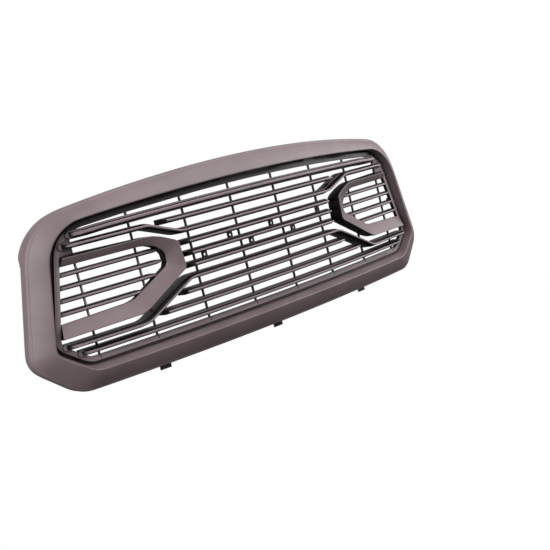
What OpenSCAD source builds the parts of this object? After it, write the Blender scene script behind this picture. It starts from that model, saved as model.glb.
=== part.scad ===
// Front grille: a painted outer shell, a moulded insert frame with bowed blades,
// two proud C-shaped brackets and the hardware that holds them together.
// Front faces -Y. Across the object is X, up is Z. Millimetres.

/* [Overall] */
// Half-width of the shell, measured at its bottom edge line
shell_half_w = 563; // [540:1:680]
// Height of the shell at its centre
shell_h = 373; // [360:1:450]
// Radius of the bow in plan
bow_r = 2430; // [1800:10:4000]
// How much each side leans inwards per mm of height
side_lean = 0.215; // [0.15:0.005:0.25]

/* [Shell] */
// Wall thickness of the shell
shell_wall = 3; // [2:0.5:4]
// Face width of the shell band at the bottom
band_bottom = 37.5; // [30:0.5:45]
// Face width of the shell band at the top
band_top = 40.5; // [34:0.5:48]
// Face width of the shell band at the sides
band_side = 41.5; // [34:0.5:50]
// How far the inner rim stands proud of the blade line
rim_proud = 19; // [12:1:24]
// Height of the crown in the band's face
band_crown = 1.5; // [0:0.5:6]
// Depth of the outer return wall behind the crease
return_depth = 24; // [18:1:32]
// Extra depth of the return wall round the top corners
wing_depth = 17; // [8:1:24]
// Height at which the deep wing starts
wing_z = 259; // [220:1:290]

/* [Insert] */
// Width of the insert's raised rim
rim_w = 10; // [7:0.5:14]
// Depth of the insert's raised rim
rim_depth = 10; // [8:0.5:14]
// Width of the screw flange outside the rim
flange_w = 20; // [18:0.5:26]
// Thickness of the screw flange
flange_t = 4; // [3:0.5:5]
// Gap between the insert's rim and the shell's return wall
rim_gap = 6; // [4:0.5:8]

/* [Blades] */
// Height of the middle blade
blade_mid_z = 200; // [190:1:215]
// Spacing of the three middle blades
mid_pitch = 23.5; // [20:0.5:26]
// Spacing of the outer blades
outer_pitch = 26.3; // [24:0.1:28]
// Height of the top blade at its centre
top_blade_z = 298; // [295:0.5:302]
// Radius of the top blade's crown
top_blade_r = 14000; // [9000:500:30000]
// Height of a blade's body
blade_h = 11.5; // [8:0.5:13]
// Height of a blade's nose
nose_h = 4.6; // [3:0.2:6]
// How far the outer blades' noses stand proud
nose_proud = 17; // [12:1:22]
// How far the middle blades' noses stand proud
mid_nose_proud = 23; // [14:1:26]
// How far the window blades' noses stand proud
window_nose_proud = 4; // [1:1:8]
// Depth of a straight blade behind the blade line
blade_back = 10; // [8:1:14]
// Depth of a contour blade behind the blade line
contour_back = 14; // [10:1:16]
// Height of a window blade
window_blade_h = 9; // [6:0.5:12]

/* [Ribs] */
// Spacing of the upright ribs
rib_pitch = 120; // [100:1:130]
// Width of a rib
rib_w = 2.5; // [2:0.5:5]
// Depth of a rib
rib_depth = 4; // [3:0.5:6]

/* [Brackets] */
// How far the C bracket's apex stands proud
apex_proud = 30; // [20:1:36]
// How far the C bracket's arm ends stand proud
arm_proud = 11; // [6:1:16]
// Depth of the C bracket behind the blade line
bracket_back = 6; // [4:0.5:8]
// Wall thickness of the C bracket
bracket_wall = 3; // [2:0.5:4]
// Clearance between a C bracket's arm end and the insert
arm_gap = 0.5; // [0.3:0.1:2]

/* [Mounting] */
// Spacing of the four top mounting holes
mount_spacing = 270; // [240:1:285]
// Radius of a top mounting hole
mount_hole_r = 3.5; // [2.5:0.25:5]
// Height of the top mounting plates' upper face
mount_plate_z = 322; // [318:1:325]
// Distance of the mounting holes behind the centre of the blade line
mount_y = 78; // [70:1:90]
// Thickness of the hardware plates
plate_t = 3; // [2:0.5:4]
// Radius of a side locating pin
pin_r = 4; // [3:0.5:6]
// Length of a side locating pin
pin_l = 12; // [8:1:24]
// Height of the side locating pins
pin_z = 180; // [140:1:200]
// Radius of a screw's shank
screw_r = 2; // [1.5:0.25:2.5]
// Radius of a screw's head
screw_head_r = 4; // [3:0.25:5]
// Clearance round a screw
screw_gap = 0.25; // [0.1:0.05:0.5]
// Width of a lower locating tab
tab_w = 24; // [18:1:30]
// Spacing of the lower locating tabs
tab_pitch = 288; // [260:1:320]
// How far a lower locating tab hangs below the shell
tab_drop = 12; // [8:1:16]
// Radius of the holes in the badge tabs
badge_hole_r = 3.2; // [2:0.2:4]

/* [Hidden] */

shell_colour = [0.40, 0.36, 0.36];
insert_colour = [0.13, 0.12, 0.12];
steel_colour = [0.45, 0.45, 0.47];

far = 400;          // reach of cutting solids
bow_fn = 720;       // facets in a full turn of the bow
fit = 0.3;          // seating clearance between the shell's foot and the flange

// ---- plan bow -------------------------------------------------------------
// y of a point at width x that stands p proud of the blade line
function bow_y(x, p) = bow_r - sqrt(pow(bow_r + p, 2) - x * x);
function on_bow(q, p) = [q[0], bow_y(q[0], p), q[1]];
function bow_angle(x) = asin(x / bow_r);

// ---- outlines -------------------------------------------------------------
// An outline is a straight bottom, a chamfer, a leaning side and a crowned top.
// [half width at z 0, lean, bottom z, chamfer foot x, chamfer angle, top z, crown radius,
//  low corner radius, side corner radius, top corner radius]
shell_out = [shell_half_w, side_lean, 0, shell_half_w - 93, 42.5, shell_h, 2925, 60, 45, 110];
shell_rim = [shell_half_w - band_side, side_lean - 0.03, band_bottom, shell_half_w - 123, 37.5,
             shell_h - band_top, 5000, 50, 22, 85];
opening = [shell_half_w - 55, side_lean + 0.028, band_bottom + 24.5, shell_half_w - 126, 37.5,
           shell_h - 56, 5000, 30, 15, 62];

function unit(a) = [cos(a), sin(a)];
function cross2(a, b) = a[0] * b[1] - a[1] * b[0];
// Crossing of two lines given by outward normal angle and distance from the origin
function meet(a1, d1, a2, d2) =
  let (k = cross2(unit(a1), unit(a2)))
  [(d1 * sin(a2) - d2 * sin(a1)) / k, (d2 * cos(a1) - d1 * cos(a2)) / k];
function side_angle(o) = atan(o[1]);
function side_dist(o) = o[0] * cos(side_angle(o));
function chamfer_normal(o) = o[4] - 90;
function chamfer_dist(o) = [o[3], o[2]] * unit(chamfer_normal(o));
function low_centre(o) = meet(-90, -o[2] - o[7], chamfer_normal(o), chamfer_dist(o) - o[7]);
function side_centre(o) = meet(chamfer_normal(o), chamfer_dist(o) - o[8],
                               side_angle(o), side_dist(o) - o[8]);
// The top corner's centre is one radius inside both the side line and the crown
function top_centre(o) =
  let (n = unit(side_angle(o)), d = side_dist(o) - o[9], c = [0, o[5] - o[6]],
       h = d - c * n, r = o[6] - o[9], s = sqrt(r * r - h * h))
  [c[0] + n[0] * h - n[1] * s, c[1] + n[1] * h + n[0] * s];
function crown_angle(o) = let (v = top_centre(o) - [0, o[5] - o[6]]) atan2(v[1], v[0]);

function arc(c, r, a0, a1, n) = [for (i = [0 : n]) c + r * unit(a0 + (a1 - a0) * i / n)];
function between(a, b, n) = [for (i = [1 : n - 1]) a + (b - a) * i / n];
// Right half of an outline grown by e, from the bottom centre to the top centre
function half_outline(o, e) =
  let (c1 = low_centre(o), c2 = side_centre(o), c3 = top_centre(o),
       bottom = o[2] - e,
       low = arc(c1, o[7] + e, -90, chamfer_normal(o), 5),
       side = arc(c2, o[8] + e, chamfer_normal(o), side_angle(o), 4),
       top = arc(c3, o[9] + e, side_angle(o), crown_angle(o), 8),
       crown = arc([0, o[5] - o[6]], o[6] + e, crown_angle(o), 90, 8))
  concat([[0, bottom]], between([0, bottom], low[0], 8), low,
         between(low[5], side[0], 2), side, side_run(side[4], top[0]), top,
         [for (i = [1 : 8]) crown[i]]);
// The straight side has a close pair of stations where the wing steps out
function side_run(a, b) =
  let (t = (wing_z - a[1]) / (b[1] - a[1]), m = a + (b - a) * t, s = (b - a) / norm(b - a))
  concat(between(a, m, 4), [m, m + s * 0.6]);
function mirrored(h) = [for (i = [len(h) - 2 : -1 : 1]) [-h[i][0], h[i][1]]];
function outline(o, e) = let (h = half_outline(o, e)) concat(h, mirrored(h));
half_n = len(half_outline(shell_out, 0));

// ---- shared solids --------------------------------------------------------
module from_datum() translate([0, -mount_y, -mount_plate_z]) children();
// Everything between two distances in front of the blade line
module bow_band(p0, p1, half_w = 600)
  intersection() {
    translate([0, bow_r, -far])
      difference() {
        cylinder(r = bow_r + p1, h = 3 * far, $fn = bow_fn);
        translate([0, 0, -1]) cylinder(r = bow_r + p0, h = 3 * far + 2, $fn = bow_fn);
      }
    translate([-half_w, -far, -far]) cube([2 * half_w, 2 * far, 3 * far]);
  }
// A flat shape in X and Z, drawn out along Y
module upright(y0 = -far, y1 = far)
  translate([0, y1, 0]) rotate([90, 0, 0]) linear_extrude(y1 - y0) children();
// A plate that follows the bow
module bowed_plate(p0, p1)
  intersection() {
    bow_band(p0, p1);
    upright(-100, 150) children();
  }
// Moves children from the origin to the bow, looking along -Y
module at_bow(x, z, p = 0)
  translate([0, bow_r, z]) rotate([0, 0, bow_angle(x)]) translate([0, -bow_r - p, 0]) children();
module bow_cylinder(x, z, p0, p1, r)
  at_bow(x, z, p0) rotate([90, 0, 0]) cylinder(r = r, h = p1 - p0, $fn = 48);

// A closed ring or an open run of equal sections, as one solid
function skin_faces(n, m, closed) =
  [for (i = [0 : closed ? n - 1 : n - 2], j = [0 : m - 1])
    let (a = i * m, b = (i + 1) % n * m, k = (j + 1) % m)
    for (f = [[a + j, a + k, b + k], [a + j, b + k, b + j]]) f];
function cap_faces(n, m) = [[for (j = [m - 1 : -1 : 0]) j], [for (j = [0 : m - 1]) (n - 1) * m + j]];
module skin(rings, closed = false) {
  n = len(rings);
  m = len(rings[0]);
  polyhedron([for (r = rings, q = r) q],
             concat(skin_faces(n, m, closed), closed ? [] : cap_faces(n, m)));
}

// ---- levels and paths -----------------------------------------------------
upper_rail_z = blade_mid_z + 2 * mid_pitch;
lower_rail_z = blade_mid_z - 2 * mid_pitch;
// Blade levels, top to bottom; the third and seventh are the contour blades' middle runs
blade_z = [top_blade_z, upper_rail_z + outer_pitch, upper_rail_z,
           blade_mid_z + mid_pitch, blade_mid_z, blade_mid_z - mid_pitch, lower_rail_z,
           lower_rail_z - outer_pitch, lower_rail_z - 2 * outer_pitch, lower_rail_z - 3 * outer_pitch];
// Where each short blade's nose ends, either side of the centre
short_nose_x = [0, 231, 0, 196, 196, 196, 0, 224, 275, 0];
// How much further out the tail of each short blade's raked end reaches
end_rake = [0, 7, 0, 27, 27, 27, 0, 3, 3, 0];
end_run = 32;       // length over which a nose sinks into the insert's rim
end_proud = 3;      // how far a nose stands proud where it meets the rim
window_run = 18;    // length over which a window blade's nose sinks

// x of the opening's edge at height z
opening_half = half_outline(opening, 0);
function edge_x(z) =
  [for (i = [0 : len(opening_half) - 2])
    let (a = opening_half[i], b = opening_half[i + 1])
    if (a[1] <= z && z < b[1]) a[0] + (b[0] - a[0]) * (z - a[1]) / (b[1] - a[1])][0];

// Contour blades: middle run, diagonal and outer run, right half, from the centre out
rail_outer_low_z = lower_rail_z - 60.5;
upper_rail_bends = [[207, upper_rail_z], [275, upper_rail_z + outer_pitch]];
lower_rail_bends = [[210, lower_rail_z], [322, rail_outer_low_z]];
bend_r = 45;
// Rounds the corner at b between a and c
function round_corner(a, b, c, r, n) =
  let (u = (a - b) / norm(a - b), v = (c - b) / norm(c - b), half = acos(u * v) / 2,
       centre = b + (u + v) / norm(u + v) * r / sin(half), t = r / tan(half),
       p = b + u * t - centre, q = b + v * t - centre, a0 = atan2(p[1], p[0]),
       turn = atan2(cross2(p, q), p * q))
  arc(centre, r, a0, a0 + turn, n);
// The run to the rim: the nose sinks over end_run, and the blade overruns into the rim to be trimmed
overrun = 18;
function end_stations(end) =
  [end - [end_run, 0], end - [end_run * 0.4, 0], end, end + [overrun, 0]];
function both_ways(h) = concat([for (i = [len(h) - 1 : -1 : 1]) [-h[i][0], h[i][1]]], h);
function rail_path(bends) =
  let (start = [0, bends[0][1]], end = [edge_x(bends[1][1]), bends[1][1]],
       first = round_corner(start, bends[0], bends[1], bend_r, 4),
       second = round_corner(bends[0], bends[1], end, bend_r, 4))
  both_ways(concat([start], between(start, first[0], 4), first, second,
                   between(second[4], end - [end_run, 0], 3), end_stations(end)));
function crown_point(x) = [x, top_blade_z - x * x / (2 * top_blade_r)];
top_end_x = edge_x(crown_point(edge_x(top_blade_z))[1]);
function top_path() =
  both_ways(concat([for (i = [0 : 8]) crown_point((top_end_x - end_run) * i / 9)],
                   end_stations(crown_point(top_end_x))));
function path_normal(path, i) =
  let (a = path[max(i - 1, 0)], b = path[min(i + 1, len(path) - 1)], d = (b - a) / norm(b - a))
  i == 0 || i == len(path) - 1 ? [0, 1] : [-d[1], d[0]];

// ---- C bracket outline ----------------------------------------------------
// Right-hand bracket, from the upper arm's end round to the lower arm's end.
// Heights are from the middle blade; proud values are shares of the apex's.
arm_top_z = blade_mid_z + 53.5;
arm_low_z = blade_mid_z - 92;
function arm_end(z) = [edge_x(z) - arm_gap, z];
bracket_outer = [
  arm_end(arm_top_z), [286, arm_top_z - 0.5], [272, arm_top_z - 2], [256, blade_mid_z + 46.5],
  [231, blade_mid_z + 34.5], [224, blade_mid_z + 28], [220.5, blade_mid_z - 20],
  [224, blade_mid_z - 27], [316, blade_mid_z - 82], [331, blade_mid_z - 87.5], arm_end(arm_low_z)
];
bracket_inner = [
  arm_end(arm_top_z - 14.5), [296, blade_mid_z + 38], [282, blade_mid_z + 36], [268.5, blade_mid_z + 30.5],
  [257, blade_mid_z + 21], [251.5, blade_mid_z + 12], [250.5, blade_mid_z - 4],
  [255, blade_mid_z - 13], [330, blade_mid_z - 56], [345, blade_mid_z - 59.5], arm_end(arm_low_z + 27.5)
];
apex_rise = apex_proud - arm_proud;
outer_proud = [for (k = [0, 0.72, 0.79, 0.86, 0.97, 1, 1, 0.98, 0.78, 0.72, 0]) arm_proud + apex_rise * k];
inner_drop = [9, 9.5, 10, 10.5, 12.5, 15, 18, 19.5, 20, 20, 9.5];
// The upper arm's outer wall flares towards its foot
arm_flare = 5.7;
outer_foot = concat([arm_end(arm_top_z + arm_flare), bracket_outer[1] + [0, arm_flare / 4],
                     bracket_outer[2] + [0, arm_flare / 6]],
                    [for (i = [3 : 10]) bracket_outer[i]]);
bracket_n = len(bracket_outer);
function inset(a, b, w) = a + (b - a) / norm(b - a) * w;
// The bracket's outline in X and Z, with its walls drawn in by w
function bracket_outline(w) =
  concat([for (i = [0 : bracket_n - 1]) inset(bracket_outer[i], bracket_inner[i], w)],
         [for (i = [bracket_n - 1 : -1 : 0]) inset(bracket_inner[i], bracket_outer[i], w)]);
module bracket_shape(side, w = 0)
  polygon([for (q = bracket_outline(w)) [side * q[0], q[1]]]);
// Screw posts inside the bracket: x, z and how far forward they reach
bracket_posts = [[380, arm_top_z - 7, 9], [239, blade_mid_z + 4, 15], [395, arm_low_z + 14, 5]];

// ---- blade sections -------------------------------------------------------
// [distance in front of the blade line, half-height] from the back to the nose's tip
function blade_profile(h, nose, proud, back = blade_back) = [
  [-back, h / 2 - 1], [-back + 1, h / 2], [proud * 0.2, h / 2],
  [proud * 0.2 + min(1.2, proud * 0.1), h / 2 - 0.9], [proud * 0.35, nose / 2 + 0.8], [proud * 0.5, nose / 2],
  [proud - 1.4, nose / 2], [proud - 0.4, nose / 2 - 0.8], [proud, nose / 2 - 1.8]
];
function closed_profile(half) =
  concat(half, [for (i = [len(half) - 1 : -1 : 0]) [half[i][0], -half[i][1]]]);
window_profile = [
  [-blade_back, window_blade_h / 2 - 1], [-blade_back + 1, window_blade_h / 2],
  [0, window_blade_h / 2], [window_nose_proud - 1, window_blade_h / 2 - 1.2],
  [window_nose_proud, window_blade_h / 2 - 2.8]
];
// A blade right across the bow at height z
module bowed_blade(z, profile, half_w) {
  sweep = 2 * bow_angle(half_w) + 1;
  translate([0, bow_r, z])
    rotate([0, 0, -90 - sweep / 2])
      rotate_extrude(angle = sweep, $fn = bow_fn)
        polygon([for (q = closed_profile(profile)) [bow_r + q[0], q[1]]]);
}
// Plan region kept in front of a line from [x0, p0] to [x1, p1] at each end
module plan_trim(x0, p0, x1, p1)
  translate([0, 0, -far])
    linear_extrude(3 * far)
      polygon([[-x0, -far], [-x0, bow_y(x0, p0)], [-x1, bow_y(x1, p1)], [-x1, far],
               [x1, far], [x1, bow_y(x1, p1)], [x0, bow_y(x0, p0)], [x0, -far]]);
module opening_shape(e = 0) polygon(outline(opening, e));
// A blade whose ends die into the insert's rim
module full_blade(z)
  difference() {
    intersection() {
      bowed_blade(z, blade_profile(blade_h, nose_h, nose_proud), edge_x(z));
      upright(-100, 150) opening_shape();
      plan_trim(edge_x(z) - end_run, nose_proud + 0.5, edge_x(z) + 4, end_proud - 1);
    }
    rib_slots();
  }
// A blade with raked ends, free or stopping against a bracket
module short_blade(i, proud) {
  x = short_nose_x[i];
  difference() {
    intersection() {
      bowed_blade(blade_z[i], blade_profile(blade_h, nose_h, proud), x + end_rake[i] + 20);
      plan_trim(x, proud + 0.3, x + end_rake[i], -blade_back - 0.5);
    }
    rib_slots();
    upright(-100, 150) {
      rail_shape(upper_rail_bends);
      rail_shape(lower_rail_bends);
      bracket_shape(1);
      bracket_shape(-1);
    }
  }
}
// The band that a contour blade covers in X and Z
module rail_shape(bends) {
  path = rail_path(bends);
  n = len(path) - 1;
  polygon(concat([for (i = [0 : n]) path[i] + path_normal(path, i) * blade_h / 2],
                 [for (i = [n : -1 : 0]) path[i] - path_normal(path, i) * blade_h / 2]));
}
// A nose that sinks over the last stations of a path
function sunk(from_end, proud) = from_end <= 1 ? end_proud : from_end == 2 ? 0.75 * proud : proud;
// One section carried along a path and trimmed by the opening
module swept_blade(path, proud, back = blade_back) {
  n = len(path) - 1;
  difference() {
    intersection() {
      skin([for (i = [0 : n])
        [for (q = closed_profile(blade_profile(blade_h, nose_h, sunk(min(i, n - i), proud), back)))
          on_bow(path[i] + path_normal(path, i) * q[1], q[0])]]);
      upright(-100, 150) opening_shape();
    }
    rib_slots();
  }
}
function window_z(level) = blade_mid_z + (2 - level) * mid_pitch;
module window_blade(side, level) {
  z = window_z(level);
  difference() {
    intersection() {
      bowed_blade(z, window_profile, edge_x(z));
      upright(-100, 150) opening_shape();
      plan_trim(edge_x(z) - window_run, window_nose_proud + 0.5, edge_x(z) + 2, -3);
      translate([side > 0 ? 0 : -far * 2, -far, 0]) cube([far * 2, 2 * far, far]);
    }
    rib_slots();
    upright(-100, 150) polygon(concat([[0, 0], [0, far]], window_side(side)));
  }
}
// The bracket's window-side edge with the middle of the grille, to cut a window blade's inner end
function window_side(side) =
  concat([[side * 300, far], [side * 300, arm_top_z - 5]],
         [for (i = [1 : bracket_n - 2]) [side * bracket_inner[i][0], bracket_inner[i][1]]],
         [[side * 360, arm_low_z], [side * 360, 0]]);

// ---- parts ----------------------------------------------------------------
flange_front = -(rim_depth - flange_t);
foot_back = flange_front + fit;
foot_in = rim_w + rim_gap;
foot_out = rim_w + flange_w - 1;
rib_front = -1;     // where a rib's front edge lies
slot_gap = 0.1;     // clearance either side of a rib in its notches
rib_mark = 1.2;     // depth of the mark below each rib in the rim's face
lip = 2.8;          // width of the rolled inner lip
shoulder = 6;       // width of the rolled outer shoulder
function mix(a, b, s) = a + (b - a) * s;
// Distance in front of the blade line across the band, from rim (0) to crease (1)
function band_p(s) = rim_proud * (1 - s) + 2 * s + 4 * band_crown * s * (1 - s);
shell_sides = [for (e = [0, 0.8, lip, shell_wall + 1.5]) outline(shell_rim, e)];
crease = [for (e = [-shoulder, -1.5, 0, -1.2, -1.5, -1.5 - shell_wall, -shell_wall - 0.5, -9])
  outline(shell_out, e)];
foot_lines = [for (e = [foot_in, foot_in + shell_wall, foot_out]) outline(opening, e)];
wing_end_x = 400;
function in_wing(q) = q[1] > wing_z + 0.3 && abs(q[0]) > wing_end_x;
function shell_back(q) = return_depth + (in_wing(q) ? wing_depth : 0.5);
function shell_ring(i) =
  let (rim = shell_sides[2][i], out = crease[0][i], back = -shell_back(crease[2][i]))
  [on_bow(foot_lines[0][i], foot_back),
   on_bow(shell_sides[0][i], rim_proud - 2.5),
   on_bow(shell_sides[1][i], rim_proud - 0.7),
   on_bow(rim, band_p(0)),
   on_bow(mix(rim, out, 0.25), band_p(0.25)),
   on_bow(mix(rim, out, 0.5), band_p(0.5)),
   on_bow(mix(rim, out, 0.75), band_p(0.75)),
   on_bow(out, band_p(1)),
   on_bow(crease[1][i], -0.5),
   on_bow(crease[2][i], -4),
   on_bow(crease[2][i], 1 - return_depth),
   on_bow(crease[3][i], -return_depth),
   on_bow(crease[4][i], back),
   on_bow(crease[5][i], back),
   on_bow(crease[6][i], -6),
   on_bow(crease[7][i], -1.5),
   on_bow(mix(rim, out, 0.5), band_p(0.5) - shell_wall - 0.3),
   on_bow(shell_sides[3][i], rim_proud - shell_wall - 0.2),
   on_bow(foot_lines[1][i], foot_back + shell_wall),
   on_bow(foot_lines[2][i], foot_back + shell_wall),
   on_bow(foot_lines[2][i], foot_back)];
module outer_shell() color(shell_colour) from_datum()
  difference() {
    skin([for (i = [0 : 2 * half_n - 3]) shell_ring(i)], true);
    for (q = concat(plain_screws, plate_screws))
      bow_cylinder(q[0], q[1], foot_back - 1, foot_back + shell_wall + 1, screw_r);
  }

// Insert screws stand on one line across the flange, outside the shell's return wall
screw_e = rim_w + flange_w - 5.5;
screw_low_z = opening[2] - screw_e;
function screw_top_z(x) = opening[5] - opening[6] + sqrt(pow(opening[6] + screw_e, 2) - x * x);
function screw_side_x(z) = (side_dist(opening) + screw_e) / cos(side_angle(opening)) - opening[1] * z;
plain_screws = concat(
  [[0, screw_top_z(0)]],
  [for (s = [-1, 1], z = [110, 238]) [s * screw_side_x(z), z]],
  [for (s = [-1, 1], x = [tab_pitch / 2, tab_pitch * 1.35]) [s * x, screw_low_z]]);
mount_screw_x = [mount_spacing * 0.65, mount_spacing * 1.35];
locator_screw_z = [pin_z - 24, pin_z + 24];
plate_screws = concat(
  [for (s = [-1, 1], x = mount_screw_x) [s * x, screw_top_z(x)]],
  [for (s = [-1, 1], z = locator_screw_z) [s * screw_side_x(z), z]],
  [for (c = [-1, 0, 1], s = [-1, 1]) [c * tab_pitch + s * 7, screw_low_z]]);
plate_back = -rim_depth - plate_t;

module insert_frame() color(insert_colour) from_datum()
  difference() {
    union() {
      bowed_plate(-rim_depth, 0) difference() {
        opening_shape(rim_w);
        opening_shape();
      }
      bowed_plate(-rim_depth, flange_front) difference() {
        opening_shape(rim_w + flange_w);
        opening_shape();
      }
      for (side = [-1, 1])
        bowed_plate(-rim_depth, -bracket_back) intersection() {
          opening_shape(1);
          union() {
            bracket_shape(side, 1);
            for (z = [arm_top_z - 7, arm_low_z + 14])
              translate([side > 0 ? edge_x(z) - 20 : -edge_x(z) - 5, z - 5]) square([25, 10]);
          }
        }
    }
    for (q = concat(plain_screws, plate_screws))
      bow_cylinder(q[0], q[1], -rim_depth - 1, flange_front + 1, screw_r + screw_gap);
    for (side = [-1, 1], q = bracket_posts)
      bow_cylinder(side * q[0], q[1], -rim_depth - 1, 1 - bracket_back, screw_r + screw_gap);
    for (i = [1 : 8])
      bowed_plate(-rib_mark, 1) translate([rib_x(i) - 1, opening[2] - 7]) square([2, 6]);
  }

module blade_01() color(insert_colour) from_datum() swept_blade(top_path(), nose_proud);
module contour_blade(bends) color(insert_colour) from_datum() 
  swept_blade(rail_path(bends), mid_nose_proud, contour_back);
module blade_02() color(insert_colour) from_datum() short_blade(1, nose_proud);
module upper_contour_blade() contour_blade(upper_rail_bends);
module blade_04() color(insert_colour) from_datum() short_blade(3, mid_nose_proud);
module blade_05() color(insert_colour) from_datum() short_blade(4, mid_nose_proud);
module blade_06() color(insert_colour) from_datum() short_blade(5, mid_nose_proud);
module lower_contour_blade() contour_blade(lower_rail_bends);
module blade_08() color(insert_colour) from_datum() short_blade(7, nose_proud);
module blade_09() color(insert_colour) from_datum() short_blade(8, nose_proud);
module blade_10() color(insert_colour) from_datum() full_blade(blade_z[9]);
module window_blade_at(side, level) color(insert_colour) from_datum() window_blade(side, level);

function rib_x(i) = (i - 4.5) * rib_pitch;
// The bar that an upright rib is cut from; blades and brackets are notched round it from behind
module rib_bar(i, depth, clear)
  translate([rib_x(i) - rib_w / 2 - clear, bow_y(rib_x(i), rib_front), 0])
    cube([rib_w + 2 * clear, depth, far]);
module rib_slots() for (i = [1 : 8]) rib_bar(i, far, slot_gap);
module rib(i)
  color(insert_colour) from_datum()
    intersection() {
      rib_bar(i, rib_depth, 0);
      upright(-100, 150) opening_shape();
    }

// One side's bracket: a hollow wall section carried round the C, with screw posts inside
function bracket_ring(i) =
  let (a = bracket_outer[i], b = bracket_inner[i], pa = outer_proud[i], pb = outer_proud[i] - inner_drop[i],
       w = bracket_wall, back = -bracket_back)
  [for (q = [[outer_foot[i], back], [a, pa - 1.2], [inset(a, b, 1.2), pa - 0.2],
             [inset(b, a, 1), pb + 0.1], [b, pb - 1], [b, back], [inset(b, a, w), back],
             [inset(b, a, w), max(pb - w + 1.2, back + 1)],
             [inset(a, b, w), pa - w - 1.5], [inset(a, b, w), back]])
    on_bow(q[0], q[1])];
module c_bracket()
  color(shell_colour) from_datum()
    difference() {
      union() {
        skin([for (i = [0 : bracket_n - 1]) bracket_ring(i)]);
        for (q = bracket_posts)
          bow_cylinder(q[0], q[1], -bracket_back, q[2], screw_r + 2.5);
      }
      for (q = bracket_posts)
        bow_cylinder(q[0], q[1], -bracket_back - 1, 3.5, screw_r);
      rib_slots();
    }
module c_bracket_left() mirror([1, 0, 0]) c_bracket();
module c_bracket_right() c_bracket();

// Small plates between the middle blades, each with a hole and a raised collar
badge_tab_w = 13;
badge_tab_t = 3;
badge_tab_at = concat(
  [for (x = [-87, 26, 172]) [x, blade_mid_z + mid_pitch / 2]],
  [for (x = [-158, -36, 85]) [x, blade_mid_z - mid_pitch / 2]]);
module badge_ring(outline_r)
  difference() {
    circle(r = outline_r, $fn = 48);
    circle(r = badge_hole_r, $fn = 48);
  }
module badge_tab()
  rotate([90, 0, 0]) {
    linear_extrude(badge_tab_t)
      difference() {
        square([badge_tab_w, mid_pitch - blade_h], center = true);
        circle(r = badge_hole_r, $fn = 48);
      }
    linear_extrude(badge_tab_t + 2) badge_ring(badge_hole_r + 1.6);
  }
module badge_tabs()
  color(insert_colour) from_datum()
    for (q = badge_tab_at) at_bow(q[0], q[1], -1) badge_tab();

// Hooked tabs that drop into the bumper beam, screwed behind the insert's flange
module lower_tab(x)
  color(insert_colour) from_datum()
    difference() {
      union() {
        bowed_plate(plate_back, -rim_depth)
          translate([x - tab_w / 2, screw_low_z - 9]) square([tab_w, 17]);
        bowed_plate(-return_depth - 4, -rim_depth)
          translate([x - tab_w / 2, screw_low_z - 9]) square([tab_w, plate_t]);
        bowed_plate(-return_depth - 4, -return_depth - 1)
          translate([x - tab_w / 2, -tab_drop]) square([tab_w, screw_low_z - 6 + tab_drop]);
      }
      for (s = [-1, 1])
        bow_cylinder(x + s * 7, screw_low_z, plate_back - 1, -rim_depth + 1, screw_r + screw_gap);
    }
module lower_tab_left() lower_tab(-tab_pitch);
module lower_tab_centre() lower_tab(0);
module lower_tab_right() lower_tab(tab_pitch);

// A strip behind the top flange with two tongues that bolt down to the vehicle
tongue_w = 44;
tongue_end = 17;    // length of a tongue behind its hole
stiffener = 12;     // depth of the ledge between the tongues
module mount_span(side, y0, y1) {
  w = mount_spacing + tongue_w;
  translate([side * mount_spacing - w / 2, y0]) square([w, y1 - y0]);
}
module behind(p) translate([0, bow_r]) circle(r = bow_r + p, $fn = bow_fn);
module mount_plan(side)
  intersection() {
    behind(-rim_depth);
    union() {
      difference() {
        mount_span(side, -far, far);
        behind(plate_back - stiffener);
      }
      for (x = [mount_spacing / 2, mount_spacing * 1.5])
        translate([side * x - tongue_w / 2, -far]) square([tongue_w, far + mount_y + tongue_end]);
    }
  }
module upper_mount(side)
  color(insert_colour) from_datum()
    difference() {
      union() {
        bowed_plate(plate_back, -rim_depth) intersection() {
          difference() {
            opening_shape(rim_w + flange_w);
            opening_shape(2);
          }
          mount_span(side, blade_mid_z, far);
        }
        translate([0, 0, mount_plate_z - plate_t]) linear_extrude(plate_t) mount_plan(side);
      }
      for (x = [mount_spacing / 2, mount_spacing * 1.5])
        translate([side * x, mount_y, mount_plate_z - 10]) cylinder(r = mount_hole_r, h = 20, $fn = 48);
      for (x = mount_screw_x)
        bow_cylinder(side * x, screw_top_z(x), plate_back - 1, 1 - rim_depth, screw_r + screw_gap);
    }
module upper_mount_left() upper_mount(-1);
module upper_mount_right() upper_mount(1);

// A plate behind the side flange with a tower and a pin that finds its hole in the wing
tower_r = 9;
tower_end_y = round(bow_y(shell_half_w, 0) + 4);
module side_locator(side) {
  x = screw_side_x(pin_z);
  color(insert_colour) from_datum()
    difference() {
      union() {
        bowed_plate(plate_back, -rim_depth) intersection() {
          difference() {
            opening_shape(rim_w + flange_w);
            opening_shape(rim_w);
          }
          translate([side > 0 ? 0 : -2 * far, pin_z - 34]) square([2 * far, 68]);
        }
        translate([side * x, tower_end_y, pin_z]) rotate([90, 0, 0])
          cylinder(r = tower_r, h = tower_end_y - bow_y(x, -rim_depth - 2), $fn = 48);
        translate([side * x, tower_end_y + pin_l, pin_z]) rotate([90, 0, 0])
          cylinder(r = pin_r, h = pin_l + 5, $fn = 48);
      }
      for (z = locator_screw_z)
        bow_cylinder(side * screw_side_x(z), z, plate_back - 1, 1 - rim_depth, screw_r + screw_gap);
    }
}
module side_locator_left() side_locator(-1);
module side_locator_right() side_locator(1);

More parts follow.
